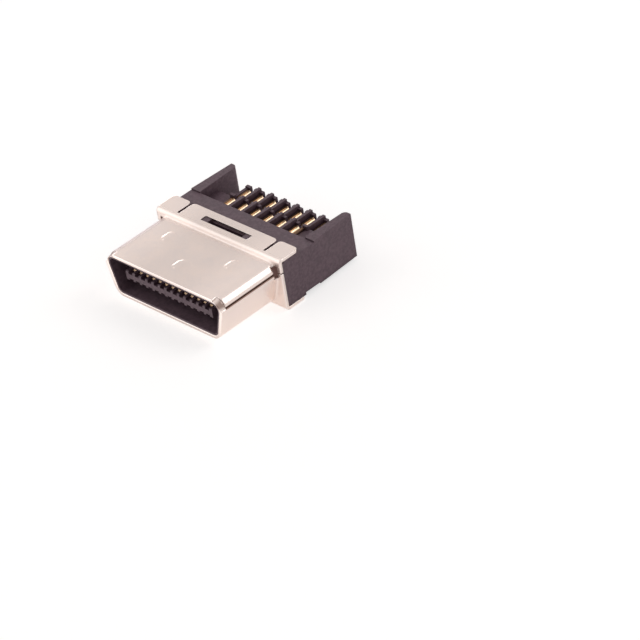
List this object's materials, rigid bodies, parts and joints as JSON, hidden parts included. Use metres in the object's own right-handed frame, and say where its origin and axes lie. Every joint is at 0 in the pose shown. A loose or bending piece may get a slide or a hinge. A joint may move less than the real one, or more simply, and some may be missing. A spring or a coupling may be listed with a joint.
{
  "type": "shielded cable plug",
  "caption": "D-shaped metal nose, flange with slotted tabs, and a black rear housing with a comb of solder cups between two side wings.",
  "frame": {"origin": "under the middle of the plug, on the plane of the lower tabs, midway between nose tip and wing ends", "axes": "+X along the contact rows, +Y from the nose to the solder cups, +Z from the narrow side of the D to its wide side"},
  "size_m": [0.0154, 0.016, 0.0052],
  "materials": {
    "nickel_shell": "bright nickel plating on stamped sheet, with soft highlights",
    "black_plastic": "moulded black plastic with a faint grain",
    "gold_contact": "gold plating, satin"
  },
  "bodies": {
    "root": {"upper_shell": "nickel_shell", "lower_shell": "nickel_shell", "front_insulator": "black_plastic", "rear_housing": "black_plastic", "contact_01": "gold_contact", "contact_02": "gold_contact", "contact_03": "gold_contact", "contact_04": "gold_contact", "contact_05": "gold_contact", "contact_06": "gold_contact", "contact_07": "gold_contact", "contact_08": "gold_contact", "contact_09": "gold_contact", "contact_10": "gold_contact", "contact_11": "gold_contact", "contact_12": "gold_contact", "contact_13": "gold_contact", "contact_14": "gold_contact", "contact_15": "gold_contact", "contact_16": "gold_contact", "contact_17": "gold_contact", "contact_18": "gold_contact", "contact_19": "gold_contact", "contact_20": "gold_contact", "contact_21": "gold_contact", "contact_22": "gold_contact", "contact_23": "gold_contact", "contact_24": "gold_contact", "contact_25": "gold_contact", "contact_26": "gold_contact"}
  },
  "joints": []
}
